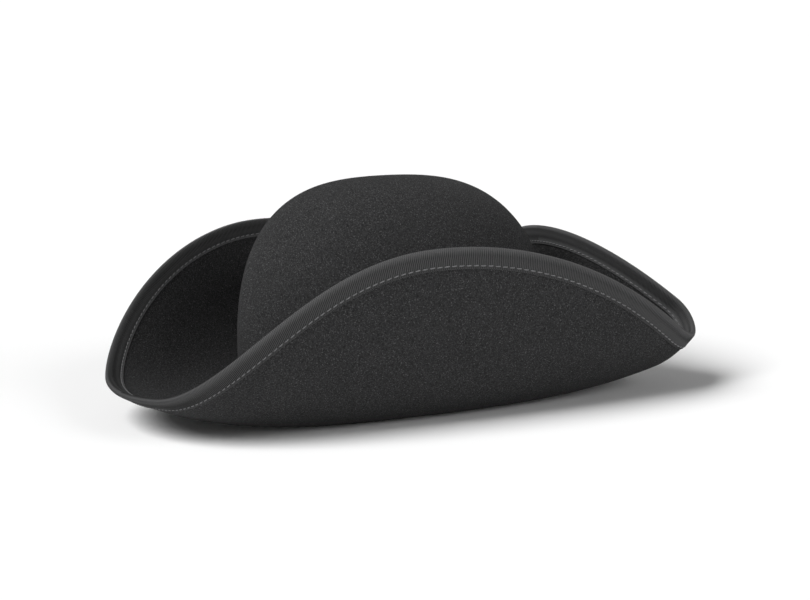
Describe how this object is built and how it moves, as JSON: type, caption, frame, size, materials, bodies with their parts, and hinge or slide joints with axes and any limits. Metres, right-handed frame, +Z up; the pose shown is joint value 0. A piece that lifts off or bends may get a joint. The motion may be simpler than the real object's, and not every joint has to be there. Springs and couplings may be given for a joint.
{
  "type": "pirate hat",
  "caption": "Black felt tricorne with a round crown, three upturned brim flaps, a ribbon-bound edge, and a lined, banded head opening.",
  "frame": {"origin": "centre of the head opening, in the plane of the flat felt ring that the hat stands on", "axes": "+Z up through the crown, -Y to the front corner, +X to the wearer's left"},
  "size_m": [0.3474, 0.3265, 0.1388],
  "materials": {
    "felt": "matte wool felt",
    "grosgrain": "ribbed, dull sheen",
    "thread": "spun thread",
    "band_leather": "smooth leatherette",
    "reed_tape": "coated cloth",
    "reed_plastic": "smooth",
    "bow_ribbon": "satin ribbon",
    "satin": "satin",
    "label": "woven tape, blank"
  },
  "bodies": {
    "hat": {"felt_body": "felt", "brim_binding": "grosgrain", "binding_thread_outside": "thread", "binding_thread_inside": "thread", "sweatband": "band_leather", "sweatband_thread": "thread", "reed_tape": "reed_tape", "sweatband_reed": "reed_plastic", "sweatband_bow": "bow_ribbon", "lining_side": "satin", "lining_tip": "satin", "label_thread": "thread"},
    "label": {"care_label": "label"}
  },
  "joints": [
    {"name": "label_lift", "type": "hinge", "parent": "hat", "child": "label", "pos_m": [0, 0.09199, 0.075], "axis": [-1, 0, 0], "range_deg": [0, 135]}
  ]
}
